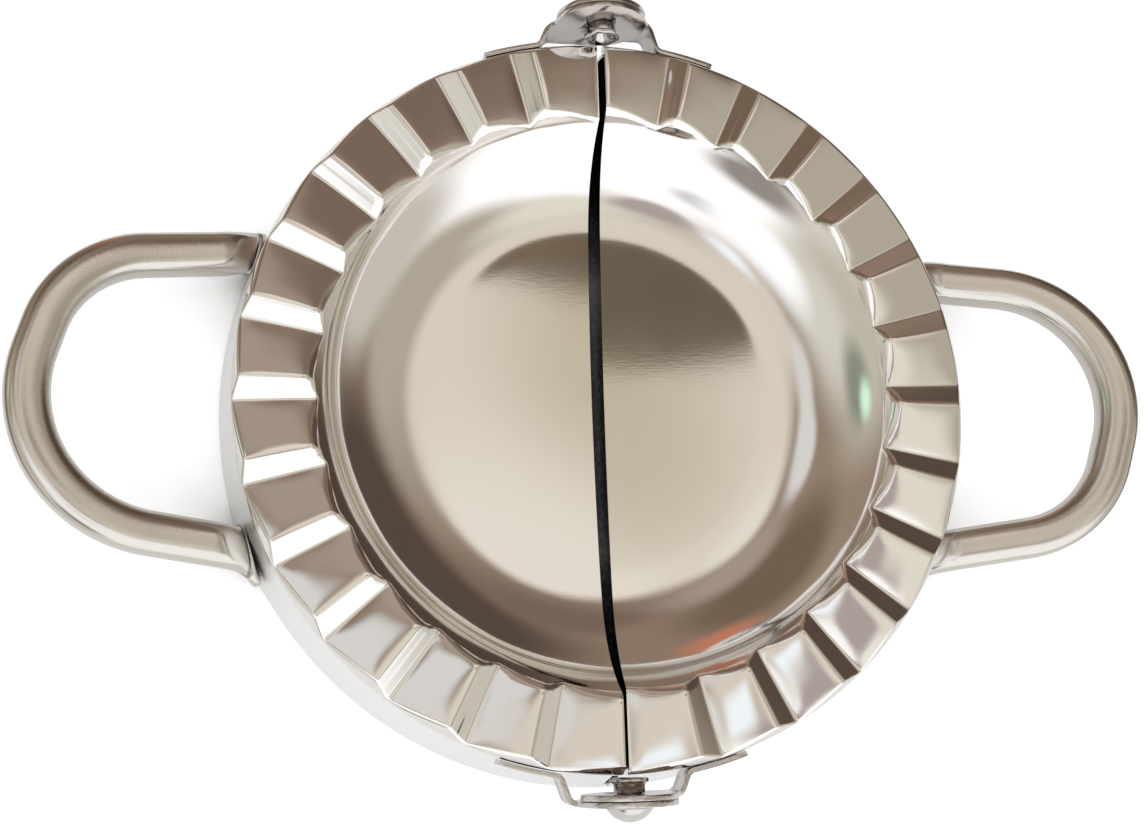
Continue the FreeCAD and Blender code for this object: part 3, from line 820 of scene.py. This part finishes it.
room = {
    "walls": (0.36, 0.28, 0.21), "below": (0.95, 0.95, 0.95), "belowFrom": (-0.03, 0.0),
    "ambient": (0.86, 0.86, 0.86),
    "patches": {
        "brightSide": {"at": (270, 0), "core": 70, "reach": 95, "colour": (0.85, 0.82, 0.76)},
        "windowWall": {"at": (275, 28), "core": 36, "reach": 58, "colour": (1.35, 1.35, 1.38)},
        "leftWall": {"at": (186, 22), "core": 16, "reach": 42, "colour": (0.64, 0.61, 0.52)},
        "leftUpper": {"at": (196, 46), "core": 8, "reach": 30, "colour": (0.80, 0.78, 0.71)},
        "rightUpper": {"at": (4, 53), "core": 18, "reach": 34, "colour": (0.53, 0.48, 0.395),
                       "stretch": (1, 1, 1.3)},
        "rightLower": {"at": (345, 14), "core": 12, "reach": 28, "colour": (0.68, 0.65, 0.58)},
        "backWall": {"at": (80, 30), "core": 28, "reach": 52, "colour": (0.31, 0.23, 0.175)},
        "darkCorner": {"at": (40, 12), "core": 20, "reach": 40, "colour": (0.11, 0.078, 0.060)},
        "darkUpper": {"at": (65, 46), "core": 4, "reach": 17, "colour": (0.22, 0.16, 0.125)},
        "riserShade": {"at": (114, 32), "core": 12, "reach": 28, "colour": (0.20, 0.145, 0.10)},
        "paleBack": {"at": (98, 57), "core": 4, "reach": 16, "colour": (0.44, 0.37, 0.31)},
        "darkLeft": {"at": (237, 11), "core": 8, "reach": 20, "colour": (0.36, 0.33, 0.31)},
        "zenith": {"at": (190, 84), "core": 5, "reach": 14, "colour": (0.82, 0.75, 0.66)},
        "ceiling": {"at": (45, 76), "core": 11, "reach": 20, "colour": (0.84, 0.78, 0.68)},
        "ceilingPale": {"at": (53, 65), "core": 3, "reach": 8, "colour": (0.95, 0.90, 0.81)},
        "ceilingLow": {"at": (86, 70), "core": 2, "reach": 8, "colour": (0.93, 0.88, 0.79)},
        "ceilingDim": {"at": (46, 74), "core": 1, "reach": 5, "colour": (0.68, 0.60, 0.47)},
        "ceilingRight": {"at": (322, 69), "core": 4, "reach": 16, "colour": (0.90, 0.87, 0.77)},
        "ceilingLeft": {"at": (160, 72), "core": 3, "reach": 10, "colour": (0.82, 0.80, 0.77)},
        "ceilingFar": {"at": (135, 66), "core": 5, "reach": 10.5, "colour": (0.82, 0.82, 0.82)},
        "windowBar": {"at": (252, 58), "core": 2, "reach": 9, "colour": (0.64, 0.65, 0.67)},
        "purpleShade": {"at": (288, 76), "core": 3.2, "reach": 7.8, "colour": (0.50, 0.43, 0.415)},
        "paleLamp": {"at": (238, 80), "core": 1, "reach": 6, "colour": (1.10, 1.18, 1.26)},
        "highWindow": {"at": (224, 56), "core": 8, "reach": 22, "colour": (1.28, 1.31, 1.35)},
        "greenShade": {"at": (172, 26), "core": 5, "reach": 16, "colour": (0.31, 0.34, 0.27)},
        "greenLamp": {"at": (168, 19), "core": 1.5, "reach": 8, "colour": (0.80, 1.15, 0.90)},
        "redGlow": {"at": (98, 8), "core": 3, "reach": 13, "colour": (0.60, 0.24, 0.14)},
        "ceilingShade": {"at": (32, 77.4), "core": 4.6, "reach": 5.8, "colour": (0.16, 0.12, 0.08),
                         "stretch": (0.86, 1.95, 1)},
        "shadeEnd": {"at": (25, 74.5), "core": 1.2, "reach": 2.8, "colour": (0.20, 0.15, 0.10)},
    },
}


def studio(look):
    world = bpy.data.worlds.new("studio")
    bpy.context.scene.world = world
    world.use_nodes = True
    tree = world.node_tree
    towards = newNode(tree, "ShaderNodeTexCoord").outputs["Generated"]

    def chord(turn):
        return 2 * math.sin(math.radians(turn) / 2)

    mirrored = look["walls"]
    for patch in look["patches"].values():
        azimuth, height = (math.radians(turn) for turn in patch["at"])
        level = math.cos(height)
        aim = Vector((level * math.cos(azimuth), level * math.sin(azimuth), math.sin(height)))
        offset = vectorNode(tree, "MULTIPLY", vectorNode(tree, "SUBTRACT", towards, aim),
                            patch.get("stretch", (1, 1, 1)))
        limits = (chord(patch["core"]), chord(patch["reach"]))
        here = smoothRamp(tree, vectorNode(tree, "LENGTH", offset), limits, (1.0, 0.0))
        mirrored = colourMix(tree, here, mirrored, patch["colour"])
    upward = newNode(tree, "ShaderNodeSeparateXYZ", {0: towards}).outputs["Z"]
    under = smoothRamp(tree, upward, look["belowFrom"], (1.0, 0.0))
    mirrored = colourMix(tree, under, mirrored, look["below"])
    path = newNode(tree, "ShaderNodeLightPath").outputs
    lit = colourMix(tree, path["Is Glossy Ray"], look["ambient"], mirrored)
    seen = colourMix(tree, path["Is Camera Ray"], lit, (1, 1, 1))
    plug(tree, tree.nodes["Background"].inputs["Color"], seen)


lamp = {"turns": (28, -24, 0), "spread": 60, "strength": 0.5}


def softLamp(size):
    data = bpy.data.lights.new("softLamp", "SUN")
    data.angle = math.radians(size["spread"])
    data.energy = size["strength"]
    sun = linkedObject("softLamp", data)
    sun.rotation_euler = [math.radians(turn) for turn in size["turns"]]
    sun.visible_glossy = False


photoCamera(shot)
paleTable(table)
studio(room)
softLamp(lamp)
bpy.context.scene.view_settings.view_transform = "Standard"
print("camera, table and light set")
